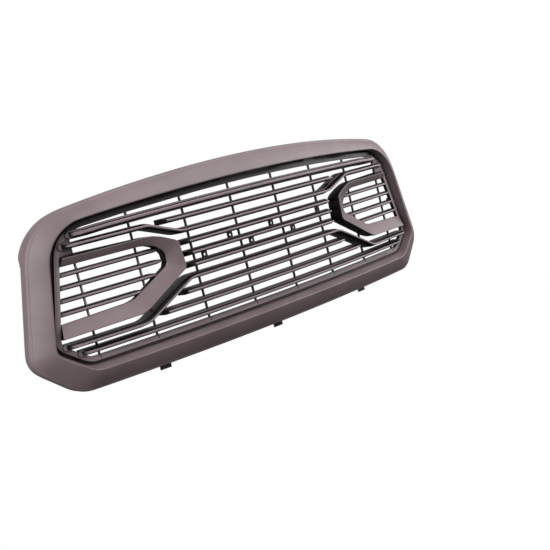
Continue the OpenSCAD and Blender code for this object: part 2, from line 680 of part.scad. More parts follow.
// Pan-head screw driven from behind; p is where its head seats
head_t = 2.6;
module screw(x, z, p, length)
  difference() {
    union() {
      bow_cylinder(x, z, p - head_t, p, screw_head_r);
      bow_cylinder(x, z, p - 1, p + length, screw_r - 0.05);
    }
    at_bow(x, z, p - head_t) for (a = [0, 90])
      rotate([0, a, 0]) cube([0.9, 2.4, 4.2], center = true);
  }
module insert_screws()
  color(steel_colour) from_datum() {
    for (q = plain_screws) screw(q[0], q[1], -rim_depth, rim_depth);
    for (q = plate_screws) screw(q[0], q[1], plate_back, rim_depth + plate_t);
  }
module bracket_screws()
  color(steel_colour) from_datum()
    for (side = [-1, 1], q = bracket_posts) screw(side * q[0], q[1], -rim_depth, 12);

module window_blade_left_1() window_blade_at(-1, 1);
module window_blade_left_2() window_blade_at(-1, 2);
module window_blade_left_3() window_blade_at(-1, 3);
module window_blade_left_4() window_blade_at(-1, 4);
module window_blade_right_1() window_blade_at(1, 1);
module window_blade_right_2() window_blade_at(1, 2);
module window_blade_right_3() window_blade_at(1, 3);
module window_blade_right_4() window_blade_at(1, 4);

outer_shell();
insert_frame();
blade_01();
blade_02();
upper_contour_blade();
blade_04();
blade_05();
blade_06();
lower_contour_blade();
blade_08();
blade_09();
blade_10();
window_blade_left_1();
window_blade_left_2();
window_blade_left_3();
window_blade_left_4();
window_blade_right_1();
window_blade_right_2();
window_blade_right_3();
window_blade_right_4();
rib(1);  // rib_1
rib(2);  // rib_2
rib(3);  // rib_3
rib(4);  // rib_4
rib(5);  // rib_5
rib(6);  // rib_6
rib(7);  // rib_7
rib(8);  // rib_8
c_bracket_left();
c_bracket_right();
badge_tabs();
lower_tab_left();
lower_tab_centre();
lower_tab_right();
upper_mount_left();
upper_mount_right();
side_locator_left();
side_locator_right();
insert_screws();
bracket_screws();
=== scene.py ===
import math
import bmesh
import bpy
from mathutils import Matrix, Vector


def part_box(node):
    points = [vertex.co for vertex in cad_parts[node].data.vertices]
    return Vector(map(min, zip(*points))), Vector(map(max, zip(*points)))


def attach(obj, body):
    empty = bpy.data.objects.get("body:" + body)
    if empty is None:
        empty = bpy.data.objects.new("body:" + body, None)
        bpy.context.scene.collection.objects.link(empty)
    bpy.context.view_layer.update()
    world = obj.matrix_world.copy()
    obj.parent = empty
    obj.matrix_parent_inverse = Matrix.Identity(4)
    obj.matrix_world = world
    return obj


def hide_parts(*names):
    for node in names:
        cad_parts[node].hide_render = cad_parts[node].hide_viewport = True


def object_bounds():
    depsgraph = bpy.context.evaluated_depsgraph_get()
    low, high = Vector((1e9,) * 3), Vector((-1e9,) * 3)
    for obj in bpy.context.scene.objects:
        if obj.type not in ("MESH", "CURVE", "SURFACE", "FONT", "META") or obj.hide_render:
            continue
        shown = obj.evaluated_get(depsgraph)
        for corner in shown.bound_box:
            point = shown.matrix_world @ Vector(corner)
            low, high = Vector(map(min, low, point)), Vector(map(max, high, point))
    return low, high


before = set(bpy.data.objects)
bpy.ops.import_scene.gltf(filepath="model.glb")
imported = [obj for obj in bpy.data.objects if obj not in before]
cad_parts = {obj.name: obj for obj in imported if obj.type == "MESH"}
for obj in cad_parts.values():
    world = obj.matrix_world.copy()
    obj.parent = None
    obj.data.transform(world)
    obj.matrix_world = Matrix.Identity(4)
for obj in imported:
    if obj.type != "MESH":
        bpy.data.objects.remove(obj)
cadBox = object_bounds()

mm = 0.001
print("frame loaded:", len(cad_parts), "nodes")

# The grille is bowed in plan: everything is laid out as x, height z and p, the distance
# in front of the blade line, in millimetres from the shell's bottom edge.
bow = {
    "radius": 2430.0,
    "midNoseProud": 23.0,  # how proud the middle blades' noses stand
}
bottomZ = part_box("outer_shell")[0][2]
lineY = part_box("blade_05")[0][1] + bow["midNoseProud"] * mm


def bowY(x, p):
    return bow["radius"] - math.sqrt((bow["radius"] + p) ** 2 - x * x)


def place(x, z, p):
    return Vector((x * mm, bowY(x, p) * mm + lineY, z * mm + bottomZ))


# colour and nodes
def linear(hexCode, alpha=1.0):
    # sRGB hex to the linear colour that a shader takes
    parts = [int(hexCode[i:i + 2], 16) / 255 for i in (1, 3, 5)]
    return tuple(c / 12.92 if c <= 0.04045 else ((c + 0.055) / 1.055) ** 2.4 for c in parts) + (alpha,)


def addNode(tree, kind, settings=None, links=None):
    # settings are the node's own properties or socket values, links are socket: source socket
    node = tree.nodes.new(kind)
    for key, value in (settings or {}).items():
        if hasattr(node, key) and key not in node.inputs:
            setattr(node, key, value)
        else:
            node.inputs[key].default_value = value
    for key, source in (links or {}).items():
        tree.links.new(source, node.inputs[key])
    return node


def newMaterial(name):
    mat = bpy.data.materials.new(name)
    mat.use_nodes = True
    mat.node_tree.nodes.clear()
    tree = mat.node_tree
    coords = addNode(tree, "ShaderNodeTexCoord").outputs["Object"]
    return mat, tree, coords


def perMetre(sizeMm):
    # a noise texture's scale for lumps of this size
    return 1000.0 / sizeMm


def finishMaterial(tree, colour, rough, normal, settings):
    shader = addNode(tree, "ShaderNodeBsdfPrincipled", settings,
                     {"Base Color": colour, "Roughness": rough, "Normal": normal})
    addNode(tree, "ShaderNodeOutputMaterial", None, {"Surface": shader.outputs[0]})


def toneNodes(tree, coords, dark, light, lumpMm, detail=3.0):
    # two near tones of one colour, mixed by soft patches
    patches = addNode(tree, "ShaderNodeTexNoise",
                      {"Scale": perMetre(lumpMm), "Detail": detail, "Roughness": 0.55},
                      {"Vector": coords})
    tones = addNode(tree, "ShaderNodeValToRGB", None, {"Fac": patches.outputs["Fac"]})
    for stop, position, tone in zip(tones.color_ramp.elements, (0.3, 0.7), (dark, light)):
        stop.position = position
        stop.color = linear(tone)
    return tones.outputs["Color"]


def ramp(tree, value, start, end):
    # start's two values become end's two, straight in between and held outside
    limits = {"From Min": start[0], "From Max": start[1], "To Min": end[0], "To Max": end[1]}
    return addNode(tree, "ShaderNodeMapRange", limits, {"Value": value}).outputs[0]


def edgeTone(tree, colour, edgeHex, amount):
    # handling rubs the sharp edges a little lighter
    point = addNode(tree, "ShaderNodeNewGeometry").outputs["Pointiness"]
    mix = addNode(tree, "ShaderNodeMix", {"data_type": "RGBA"},
                  {"Factor": ramp(tree, point, (0.52, 0.6), (0.0, amount))})
    tree.links.new(colour, mix.inputs[6])
    mix.inputs[7].default_value = linear(edgeHex)
    return mix.outputs[2]


def roughNodes(tree, coords, low, high, lumpMm):
    noise = addNode(tree, "ShaderNodeTexNoise",
                    {"Scale": perMetre(lumpMm), "Detail": 4.0}, {"Vector": coords})
    return ramp(tree, noise.outputs["Fac"], (0.3, 0.7), (low, high))


def bumpNodes(tree, coords, layers):
    # layers: (lump size in mm, strength, depth in mm), the coarse one first
    normal = None
    for size, strength, depth in layers:
        noise = addNode(tree, "ShaderNodeTexNoise",
                        {"Scale": perMetre(size), "Detail": 2.0}, {"Vector": coords})
        bump = addNode(tree, "ShaderNodeBump", {"Strength": strength, "Distance": depth * mm},
                       {"Height": noise.outputs["Fac"]})
        if normal:
            tree.links.new(normal, bump.inputs["Normal"])
        normal = bump.outputs["Normal"]
    return normal


# materials
shellPaint = {
    "dark": "#706163", "light": "#7b6b6d", "edge": "#8c7d7f",
    "rough": (0.40, 0.50), "wear": 0.35, "patchMm": 70, "sheenMm": 18,
    "orangePeelMm": 2.6, "grainMm": 0.9,
}


def satinPaintOnAbs():
    # ABS sprayed in a satin grey-brown: an even soft sheen over faint orange peel
    mat, tree, coords = newMaterial("satinPaintOnAbs")
    colour = toneNodes(tree, coords, shellPaint["dark"], shellPaint["light"], shellPaint["patchMm"])
    colour = edgeTone(tree, colour, shellPaint["edge"], shellPaint["wear"])
    rough = roughNodes(tree, coords, *shellPaint["rough"], shellPaint["sheenMm"])
    # the paint's true grain is finer than 0.3 mm; it is drawn coarser so that it shows
    normal = bumpNodes(tree, coords, [(shellPaint["orangePeelMm"], 0.10, 0.12),
                                      (shellPaint["grainMm"], 0.08, 0.05)])
    finishMaterial(tree, colour, rough, normal,
                   {"IOR": 1.5, "Coat Weight": 0.12, "Coat Roughness": 0.35})
    return mat


insertPaint = {
    "dark": "#83767a", "light": "#8f8185", "edge": "#a9999c", "bare": "#1b1516",
    "rough": (0.30, 0.40), "wear": 0.5, "patchMm": 45, "sheenMm": 12, "rippleMm": 14, "grainMm": 1.1,
    "shadeReachMm": 16.0,  # how near a wall must be for the painted shade to darken a spot
    "shadeOpenness": (0.45, 0.92), "facing": (-0.5, -0.88),  # the painted shade colour at the first, the paint colour at the second
    # heights over which a painted shadow of the shell's lip falls on the rim, and the radius of the
    # rim's crown
    "lipZ": (311.5, 315.5), "crownRadius": 5000.0,
}


def insertAbsWithPaintedShade(name="insertAbsWithPaintedShade", lipShadow=0.0):
    # ABS in its grey paint where it faces out, with painted shade: a near-black colour in recesses, on
    # faces turned from the front, and under the shell's lip
    mat, tree, coords = newMaterial(name)
    colour = toneNodes(tree, coords, insertPaint["dark"], insertPaint["light"], insertPaint["patchMm"])
    colour = edgeTone(tree, colour, insertPaint["edge"], insertPaint["wear"])
    reach = addNode(tree, "ShaderNodeAmbientOcclusion",
                    {"samples": 8, "Distance": insertPaint["shadeReachMm"] * mm})
    unshaded = ramp(tree, reach.outputs["AO"], insertPaint["shadeOpenness"], (0.0, 1.0))
    surface = addNode(tree, "ShaderNodeNewGeometry")
    normalParts = addNode(tree, "ShaderNodeSeparateXYZ", None, {0: surface.outputs["Normal"]})
    front = ramp(tree, normalParts.outputs["Y"], insertPaint["facing"], (0.0, 1.0))
    openAndFacingFront = addNode(tree, "ShaderNodeMath", {"operation": "MULTIPLY"}, {0: unshaded, 1: front})
    # height on the rim, with its crown taken out: a painted shadow of the shell's lip darkens the rim's
    # top
    spot = addNode(tree, "ShaderNodeSeparateXYZ", None, {0: surface.outputs["Position"]})
    across = addNode(tree, "ShaderNodeMath", {"operation": "MULTIPLY"},
                     {0: spot.outputs["X"], 1: spot.outputs["X"]})
    height = addNode(tree, "ShaderNodeMath", {"operation": "MULTIPLY_ADD"},
                     {0: across.outputs[0], 2: spot.outputs["Z"]})
    height.inputs[1].default_value = 0.5 / (insertPaint["crownRadius"] * mm)
    outOfLipShadow = ramp(tree, height.outputs[0], [z * mm + bottomZ for z in insertPaint["lipZ"]],
                   (1.0, 1.0 - lipShadow))
    painted = addNode(tree, "ShaderNodeMath", {"operation": "MULTIPLY"},
                      {0: openAndFacingFront.outputs[0], 1: outOfLipShadow})
    # the dark colour is painted shade, mixed in where the spot is enclosed, turned from the front, or
    # under the lip's painted shadow
    mix = addNode(tree, "ShaderNodeMix", {"data_type": "RGBA"}, {"Factor": painted.outputs[0]})
    mix.inputs[6].default_value = linear(insertPaint["bare"])
    tree.links.new(colour, mix.inputs[7])
    rough = roughNodes(tree, coords, *insertPaint["rough"], insertPaint["sheenMm"])
    # a satin tool's grain is about 0.1 mm, drawn coarser so that it shows
    normal = bumpNodes(tree, coords, [(insertPaint["rippleMm"], 0.06, 0.2),
                                      (insertPaint["grainMm"], 0.07, 0.05)])
    finishMaterial(tree, mix.outputs[2], rough, normal, {"IOR": 1.5, "Specular IOR Level": 0.28})
    return mat


filledNylon = {
    "dark": "#262325", "light": "#343033", "edge": "#514c4f",
    "rough": (0.52, 0.68), "wear": 0.5, "patchMm": 8, "sheenMm": 5, "fibreMm": 1.6, "grainMm": 0.7,
}


def glassFilledNylon():
    # nylon with glass fibre, moulded: matte charcoal with pale fibre flecks at the skin
    mat, tree, coords = newMaterial("glassFilledNylon")
    colour = toneNodes(tree, coords, filledNylon["dark"], filledNylon["light"],
                       filledNylon["patchMm"], 6.0)
    colour = edgeTone(tree, colour, filledNylon["edge"], filledNylon["wear"])
    rough = roughNodes(tree, coords, *filledNylon["rough"], filledNylon["sheenMm"])
    normal = bumpNodes(tree, coords, [(filledNylon["fibreMm"], 0.18, 0.08),
                                      (filledNylon["grainMm"], 0.1, 0.04)])
    finishMaterial(tree, colour, rough, normal, {"IOR": 1.53})
    return mat


zincSteel = {
    "dark": "#9a9ea4", "light": "#c4c7cb", "edge": "#e2e4e6",
    "rough": (0.26, 0.42), "wear": 0.5, "patchMm": 2.2, "sheenMm": 1.5, "grainMm": 0.8,
}


def zincPlatedSteel():
    # cold-headed steel, zinc plated: pale blue-grey metal, faintly mottled and turned
    mat, tree, coords = newMaterial("zincPlatedSteel")
    colour = toneNodes(tree, coords, zincSteel["dark"], zincSteel["light"], zincSteel["patchMm"], 5.0)
    colour = edgeTone(tree, colour, zincSteel["edge"], zincSteel["wear"])
    rough = roughNodes(tree, coords, *zincSteel["rough"], zincSteel["sheenMm"])
    normal = bumpNodes(tree, coords, [(zincSteel["grainMm"], 0.12, 0.03)])
    finishMaterial(tree, colour, rough, normal, {"Metallic": 1.0})
    return mat


paint = satinPaintOnAbs()
# the insert's material: its grey paint, with painted shade in recesses and on faces turned from the
# front
insertPaintWithShade = insertAbsWithPaintedShade()
# the rim's copy also paints the shell lip's shadow along the rim's top
rimPaintWithLipShadow = insertAbsWithPaintedShade("rimAbsWithPaintedLipShadow", lipShadow=0.8)
nylon = glassFilledNylon()
zinc = zincPlatedSteel()
print("materials made")

# mesh helpers
def addPiece(name, verts, faces, material, replaced, smoothAngle=35.0):
    mesh = bpy.data.meshes.new(name)
    mesh.from_pydata([tuple(v) for v in verts], [], faces)
    build = bmesh.new()
    build.from_mesh(mesh)
    bmesh.ops.remove_doubles(build, verts=build.verts, dist=0.02 * mm)
    bmesh.ops.dissolve_degenerate(build, edges=build.edges, dist=0.01 * mm)
    bmesh.ops.recalc_face_normals(build, faces=build.faces)
    build.to_mesh(mesh)
    build.free()
    return finishPiece(name, mesh, material, replaced, smoothAngle)


def finishPiece(name, mesh, material, replaced, smoothAngle):
    for poly in mesh.polygons:
        poly.use_smooth = True
    mesh.set_sharp_from_angle(angle=math.radians(smoothAngle))
    mesh.materials.clear()
    mesh.materials.append(material)
    piece = bpy.data.objects.new(name, mesh)
    bpy.context.scene.collection.objects.link(piece)
    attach(piece, "root")
    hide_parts(*replaced)
    return piece


def skinFaces(rings, closed):
    n, m = len(rings), len(rings[0])
    faces = []
    for i in range(n if closed else n - 1):
        for j in range(m):
            a, b, k = i * m, (i + 1) % n * m, (j + 1) % m
            faces.append((a + j, a + k, b + k, b + j))
    if not closed:
        faces.append(tuple(range(m)))
        faces.append(tuple((n - 1) * m + j for j in reversed(range(m))))
    return faces


def skin(name, rings, material, replaced, closed=False, smoothAngle=35.0):
    verts = [v for ring in rings for v in ring]
    return addPiece(name, verts, skinFaces(rings, closed), material, replaced, smoothAngle)


def roundEdges(piece, widthMm, segments, sharperThan):
    bevel = piece.modifiers.new("roundedEdges", "BEVEL")
    bevel.width = widthMm * mm
    bevel.segments = segments
    bevel.limit_method = "ANGLE"
    bevel.angle_limit = math.radians(sharperThan)
    bevel.harden_normals = True


def softenedCopy(node, material, edgeMm, name):
    # the CAD solid as it is, with its edges rounded as a mould rounds them
    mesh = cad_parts[node].data.copy()
    build = bmesh.new()
    build.from_mesh(mesh)
    bmesh.ops.remove_doubles(build, verts=build.verts, dist=0.01 * mm)
    bmesh.ops.dissolve_limit(build, angle_limit=math.radians(1.0), verts=build.verts,
                             edges=build.edges)
    build.to_mesh(mesh)
    build.free()
    piece = finishPiece(name, mesh, material, [node], 35.0)
    roundEdges(piece, edgeMm, 2, 40)


# outlines
# an outline: flat bottom, chamfer, leaning side, crowned top
shellOut = {"half": 563.0, "lean": 0.215, "bottom": 0.0, "footX": 470.0, "chamfer": 42.5,
            "top": 373.0, "crown": 2925.0, "lowR": 60.0, "sideR": 45.0, "topR": 110.0}
shellRim = {"half": 518.5, "lean": 0.185, "bottom": 37.5, "footX": 440.0, "chamfer": 37.5,
            "top": 330.8, "crown": 5000.0, "lowR": 50.0, "sideR": 22.0, "topR": 85.0}
opening = {"half": 508.0, "lean": 0.243, "bottom": 62.0, "footX": 437.0, "chamfer": 37.5,
           "top": 317.0, "crown": 5000.0, "lowR": 30.0, "sideR": 15.0, "topR": 62.0}
wing = {"fromZ": 259.0, "depth": 17.0, "endX": 400.0}


def unit(degrees):
    return Vector((math.cos(math.radians(degrees)), math.sin(math.radians(degrees))))


def meet(angleA, distA, angleB, distB):
    # crossing of two lines given by their outward normal and distance from the origin
    a, b = unit(angleA), unit(angleB)
    k = a.x * b.y - a.y * b.x
    return Vector(((distA * b.y - distB * a.y) / k, (distB * a.x - distA * b.x) / k))


def arc(centre, radius, startDeg, endDeg, count):
    return [centre + radius * unit(startDeg + (endDeg - startDeg) * i / count)
            for i in range(count + 1)]


def between(a, b, count):
    return [a + (b - a) * (i / count) for i in range(1, count)]


def halfOutline(o, grow, fine=1):
    sideDeg = math.degrees(math.atan(o["lean"]))
    sideDist = o["half"] * math.cos(math.radians(sideDeg))
    chamDeg = o["chamfer"] - 90
    chamDist = Vector((o["footX"], o["bottom"])).dot(unit(chamDeg))
    lowC = meet(-90, -o["bottom"] - o["lowR"], chamDeg, chamDist - o["lowR"])
    sideC = meet(chamDeg, chamDist - o["sideR"], sideDeg, sideDist - o["sideR"])
    n = unit(sideDeg)
    crownC = Vector((0, o["top"] - o["crown"]))
    h = sideDist - o["topR"] - crownC.dot(n)
    s = math.sqrt((o["crown"] - o["topR"]) ** 2 - h * h)
    topC = crownC + n * h + Vector((-n.y, n.x)) * s
    toTop = topC - crownC
    crownDeg = math.degrees(math.atan2(toTop.y, toTop.x))
    start = Vector((0, o["bottom"] - grow))
    low = arc(lowC, o["lowR"] + grow, -90, chamDeg, 5 * fine)
    side = arc(sideC, o["sideR"] + grow, chamDeg, sideDeg, 4 * fine)
    top = arc(topC, o["topR"] + grow, sideDeg, crownDeg, 10 * fine)
    crown = arc(crownC, o["crown"] + grow, crownDeg, 90, 12 * fine)
    a, b = side[-1], top[0]
    step = a + (b - a) * ((wing["fromZ"] - a.y) / (b.y - a.y))
    along = (b - a).normalized()
    return ([start] + between(start, low[0], 10 * fine) + low + between(low[-1], side[0], 3 * fine)
            + side + between(a, step, 6 * fine) + [step, step + along * 0.8] + top + crown[1:])


def fullOutline(o, grow, fine=1):
    half = halfOutline(o, grow, fine)
    return half + [Vector((-q.x, q.y)) for q in half[-2:0:-1]]


openingHalf = halfOutline(opening, 0, 2)


def edgeX(z):
    # x of the opening's edge at a height
    for a, b in zip(openingHalf, openingHalf[1:]):
        if a.y <= z < b.y:
            return a.x + (b.x - a.x) * (z - a.y) / (b.y - a.y)


# outer shell
shell = {
    "wall": 3.0, "rimProud": 19.0, "creaseProud": 2.0, "crown": 1.5, "lip": 2.8, "shoulder": 6.0,
    "returnDepth": 24.0, "footIn": 16.0, "footBack": -5.7, "footLong": 10.0,
    "faceSteps": (0, 0.12, 0.3, 0.5, 0.7, 0.88, 0.975),  # from the inner lip out to the crease
}


def bandProud(s):
    # the painted face falls from the inner rim to the outer crease over a slight crown
    return shell["rimProud"] * (1 - s) + shell["creaseProud"] * s + 4 * shell["crown"] * s * (1 - s)


def shellRings():
    # each ring is one section of the shell, from its foot over the face to the return wall and back
    wall, depth, foot, proud = (shell[k] for k in ("wall", "returnDepth", "footBack", "rimProud"))
    lip, shoulder = shell["lip"], shell["shoulder"]
    rims = {e: fullOutline(shellRim, e) for e in (0, 0.7, 1.6, lip, wall + 1.5)}
    outs = {e: fullOutline(shellOut, e) for e in
            (-shoulder, -2.4, -0.6, 0, -1.2, -1.6, -1.5 - wall, -3.6, -9)}
    feet = [fullOutline(opening, shell["footIn"] + e) for e in (0, wall, wall + shell["footLong"])]
    rings = []
    for i in range(len(feet[0])):
        rim, out, edge = rims[lip][i], outs[-shoulder][i], outs[0][i]
        footA, footB, footC = (line[i] for line in feet)
        inWing = edge.y > wing["fromZ"] + 0.4 and abs(edge.x) > wing["endX"]
        back = -depth - (wing["depth"] if inWing else 0.5)
        section = [(footA, foot), (footA, foot + 2.0), (rims[0][i], proud - 4.0),
                   (rims[0][i], proud - 2.2), (rims[0.7][i], proud - 0.8), (rims[1.6][i], proud - 0.15)]
        section += [(rim + (out - rim) * s, bandProud(s)) for s in shell["faceSteps"]]
        # a fine step where the face meets the rolled shoulder
        section += [(out, bandProud(1) - 0.5), (outs[-2.4][i], 0.2), (outs[-0.6][i], -1.8)]
        section += [(edge, -4.5), (edge, -9.0), (edge, 2.5 - depth), (edge, 1.0 - depth)]
        # the return wall's end, deeper along the wings, then the inside of the shell
        section += [(outs[-1.2][i], -depth), (outs[-1.6][i], back + 0.8), (outs[-1.6][i], back),
                    (outs[-1.5 - wall][i], back), (outs[-1.5 - wall][i], back + 1.0),
                    (outs[-3.6][i], -8.0), (outs[-9][i], -1.5),
                    (rim + (out - rim) * 0.5, bandProud(0.5) - wall - 0.3),
                    (rims[wall + 1.5][i], proud - wall - 0.2), (footB, foot + wall + 1.0),
                    (footB, foot + wall), (footC, foot + wall), (footC, foot)]
        rings.append([place(q.x, q.y, p) for q, p in section])
    return rings


shellPiece = skin("outerShell", shellRings(), paint, ["outer_shell"], closed=True,
                  smoothAngle=60.0)
smooth = shellPiece.modifiers.new("smoothShell", "SUBSURF")
smooth.levels = smooth.render_levels = 2
print("outer shell made")

# blades
blades = {
    "height": 11.5, "nose": 4.6, "back": 20.0, "outerProud": 17.0, "midProud": 23.0,
    "contourBack": 22.0, "endProud": 2.6, "endRun": 34.0, "lap": 7.0, "topZ": 298.0, "topR": 14000.0,
    "topTall": 1.4,  # the top blade is this much taller than the others
}
levels = {"middle": 200.0, "midPitch": 23.5, "outerPitch": 26.3}
upperRailZ = levels["middle"] + 2 * levels["midPitch"]
lowerRailZ = levels["middle"] - 2 * levels["midPitch"]


def bladeProfile(proud, deep):
    # half the section, back to nose: distance in front of the blade line, half height
    h, nose = blades["height"] / 2, blades["nose"] / 2
    step = blades["midProud"] * 0.2 if proud > 20 else blades["outerProud"] * 0.2
    return [(-deep, h - 1.0), (-deep + 0.3, h - 0.3), (-deep + 1.0, h),
            (step - 0.4, h), (step + 0.2, h - 0.15), (step + 0.8, h - 0.7), (step + 1.2, h - 1.4),
            (proud * 0.35, nose + 1.0), (proud * 0.42, nose + 0.4), (proud * 0.5, nose),
            (proud - 1.5, nose), (proud - 0.7, nose - 0.3), (proud - 0.2, nose - 0.9),
            (proud, nose - 1.8)]


def bladeRing(point, normal, proud, top, back=-100.0, squeeze=1.0, deep=blades["back"]):
    # top and back cut the section short, squeeze narrows it
    half = [(max(min(p, top), back), z * squeeze) for p, z in bladeProfile(proud, deep)]
    loop = half + [(p, -z) for p, z in reversed(half)]
    return [place(point.x + normal.x * z, point.y + normal.y * z, p) for p, z in loop]


def mirroredXs(xs):
    return [-x for x in reversed(xs)] + [x for x in xs if x > 0]


def easeDown(t):
    # a rounded shoulder, then a fall: 1 at t 0, 0 at t 1
    return math.sqrt(max(0.0, 1 - t * t))


def endStations(end):
    # the run in which the nose sinks, then a rounded tongue that laps the rim's face
    run, lap = Vector((blades["endRun"], 0)), Vector((blades["lap"], 0))
    return ([end - run * (1 - i / 10) for i in range(11)]
            + [end + lap * math.sin(math.radians(90 * i / 6)) for i in range(1, 7)])


def sweptBlade(name, node, half, proud, deep=blades["back"], tall=1.0):
    # one section carried along a path; half is its right half, from the middle out
    path = [Vector((-q.x, q.y)) for q in reversed(half[1:])] + half
    end, low = half[-1].x - blades["lap"], blades["endProud"]
    rings = []
    for i, point in enumerate(path):
        along = path[min(i + 1, len(path) - 1)] - path[max(i - 1, 0)]
        normal = Vector((-along.y, along.x)).normalized()
        sunk = (abs(point.x) - end + blades["endRun"]) / blades["endRun"]
        lapped = (abs(point.x) - end) / blades["lap"]
        top = proud + 0.5 if sunk <= 0 else low + (proud - low) * easeDown(sunk)
        if lapped <= 0.001:
            rings.append(bladeRing(point, normal, proud, top, squeeze=tall, deep=deep))
        else:
            tongue = max(0.05, easeDown(lapped))
            rings.append(bladeRing(point, Vector((0, 1)), proud, low, -0.3, tongue))
    skin(name, rings, insertPaintWithShade, [node], smoothAngle=28.0)


def shortBlade(name, node, z, noseX, proud, rake):
    # a blade whose free ends rake back
    xs = [noseX * i / 8 for i in range(9)]
    xs += [noseX + rake * i / 6 for i in range(1, 7)]
    rings = []
    for x in mirroredXs(xs):
        past = (abs(x) - noseX) / rake
        top = proud + 0.5 if past <= 0 else proud - (proud + blades["back"] - 0.5) * past
        rings.append(bladeRing(Vector((x, z)), Vector((0, 1)), proud, top))
    skin(name, rings, insertPaintWithShade, [node], smoothAngle=28.0)


def crownedPath():
    # the top blade droops a little towards its ends
    def at(x):
        return Vector((x, blades["topZ"] - x * x / (2 * blades["topR"])))
    end = at(edgeX(at(edgeX(blades["topZ"])).y))
    last = end.x - blades["endRun"]
    return [at(last * i / 12) for i in range(12)] + endStations(end)


def levelPath(z):
    end = Vector((edgeX(z), z))
    return [Vector(((end.x - blades["endRun"]) * i / 12, z)) for i in range(12)] + endStations(end)


outer, pitch = levels["outerPitch"], levels["midPitch"]
outerProud, midProud = blades["outerProud"], blades["midProud"]
sweptBlade("blade1", "blade_01", crownedPath(), outerProud,
           tall=blades["topTall"])
sweptBlade("blade10", "blade_10", levelPath(lowerRailZ - 3 * outer), outerProud)
# number, height, half length of the nose, how proud, and how far the ends rake
for number, z, noseX, proud, rake in (
        (2, upperRailZ + outer, 231, outerProud, 7), (4, levels["middle"] + pitch, 196, midProud, 27),
        (5, levels["middle"], 196, midProud, 26), (6, levels["middle"] - pitch, 196, midProud, 28),
        (8, lowerRailZ - outer, 224, outerProud, 3), (9, lowerRailZ - 2 * outer, 275, outerProud, 3)):
    shortBlade("blade%d" % number, "blade_%02d" % number, z, noseX, proud, rake)

# contour blades
contour = {"bendR": 45.0, "upperBends": ((207, 0.0), (275, 26.3)),
           "lowerBends": ((210, 0.0), (322, -60.5))}


def roundCorner(a, b, c, radius, count):
    u, v = (a - b).normalized(), (c - b).normalized()
    half = math.acos(max(-1.0, min(1.0, u.dot(v)))) / 2
    centre = b + (u + v).normalized() * radius / math.sin(half)
    reach = radius / math.tan(half)
    p, q = b + u * reach - centre, b + v * reach - centre
    start = math.degrees(math.atan2(p.y, p.x))
    turn = math.degrees(math.atan2(p.x * q.y - p.y * q.x, p.dot(q)))
    return arc(centre, radius, start, start + turn, count)


def railPath(z, bends):
    low = [Vector((x, z + rise)) for x, rise in bends]
    start, end = Vector((0, z)), Vector((edgeX(low[1].y), low[1].y))
    first = roundCorner(start, low[0], low[1], contour["bendR"], 10)
    second = roundCorner(low[0], low[1], end, contour["bendR"], 10)
    run = Vector((blades["endRun"], 0))
    return ([start] + between(start, first[0], 8) + first + between(first[-1], second[0], 3) + second
            + between(second[-1], end - run, 6) + endStations(end))


sweptBlade("upperContourBlade", "upper_contour_blade", railPath(upperRailZ, contour["upperBends"]),
           midProud, blades["contourBack"])
sweptBlade("lowerContourBlade", "lower_contour_blade", railPath(lowerRailZ, contour["lowerBends"]),
           midProud, blades["contourBack"])
print("blades made")

# C brackets
bracket = {
    "apexProud": 30.0, "armProud": 11.0, "back": 6.0, "wall": 3.0, "edge": 0.9,
    "flare": (5.7, 1.4, 0.9),  # how far the upper arm's outer wall flares at its foot
    # rise above the middle blade, at each corner from the upper arm round to the lower
    "outer": ((None, 53.5), (286, 53), (272, 51.5), (256, 46.5), (231, 34.5), (224, 28), (220.5, -20),
              (224, -27), (316, -82), (331, -87.5), (None, -92)),
    "inner": ((None, 38.5), (296, 38), (282, 36), (268.5, 30.5), (257, 21), (251.5, 12), (250.5, -4),
              (255, -13), (330, -56), (345, -59.5), (None, -64.5)),
    "rise": (0, 0.72, 0.79, 0.86, 0.97, 1, 1, 0.98, 0.78, 0.72, 0),
    "drop": (9, 9.5, 10, 10.5, 12.5, 15, 18, 19.5, 20, 20, 9.5),
}


def bracketPoints(side):
    points = []
    for x, rise in side:
        z = levels["middle"] + rise
        points.append(Vector((edgeX(z) - 0.3 if x is None else x, z)))
    return points


def cBracket(name, node, sign):
    outerPts, innerPts = bracketPoints(bracket["outer"]), bracketPoints(bracket["inner"])
    back, w = -bracket["back"], bracket["wall"]
    rings = []
    for i, (a, b) in enumerate(zip(outerPts, innerPts)):
        pa = bracket["armProud"] + (bracket["apexProud"] - bracket["armProud"]) * bracket["rise"][i]
        pb = pa - bracket["drop"][i]
        into = (b - a).normalized()
        foot = Vector((a.x, a.y + (bracket["flare"][i] if i < 3 else 0)))
        if i == 0:
            foot.x = edgeX(foot.y) - 0.3
        profile = [(foot, back), (a, pa - 1.2), (a + into * 1.2, pa - 0.2), (b - into, pb + 0.1),
                   (b, pb - 1), (b, back), (b - into * w, back),
                   (b - into * w, max(pb - w + 1.2, back + 1)),
                   (a + into * w, pa - w - 1.5), (a + into * w, back)]
        rings.append([place(sign * q.x, q.y, p) for q, p in profile])
    piece = skin(name, rings, paint, [node], smoothAngle=40.0)
    roundEdges(piece, bracket["edge"], 3, 35)
    # only the face takes the paint; the walls behind it take the insert material, which paints them its
    # dark shade colour as they face away from the front
    piece.data.materials.append(insertPaintWithShade)
    for poly in piece.data.polygons:
        poly.material_index = 0 if poly.normal.y < -0.3 else 1


cBracket("cBracketLeft", "c_bracket_left", -1)
cBracket("cBracketRight", "c_bracket_right", 1)
print("brackets made")

# window blades
windowBlades = {"height": 9.0, "noseProud": 4.0, "endProud": -2.0, "endRun": 20.0,
                "tip": 14.0, "tipNarrow": 0.62, "innerX": (253, 253, 269, 304)}


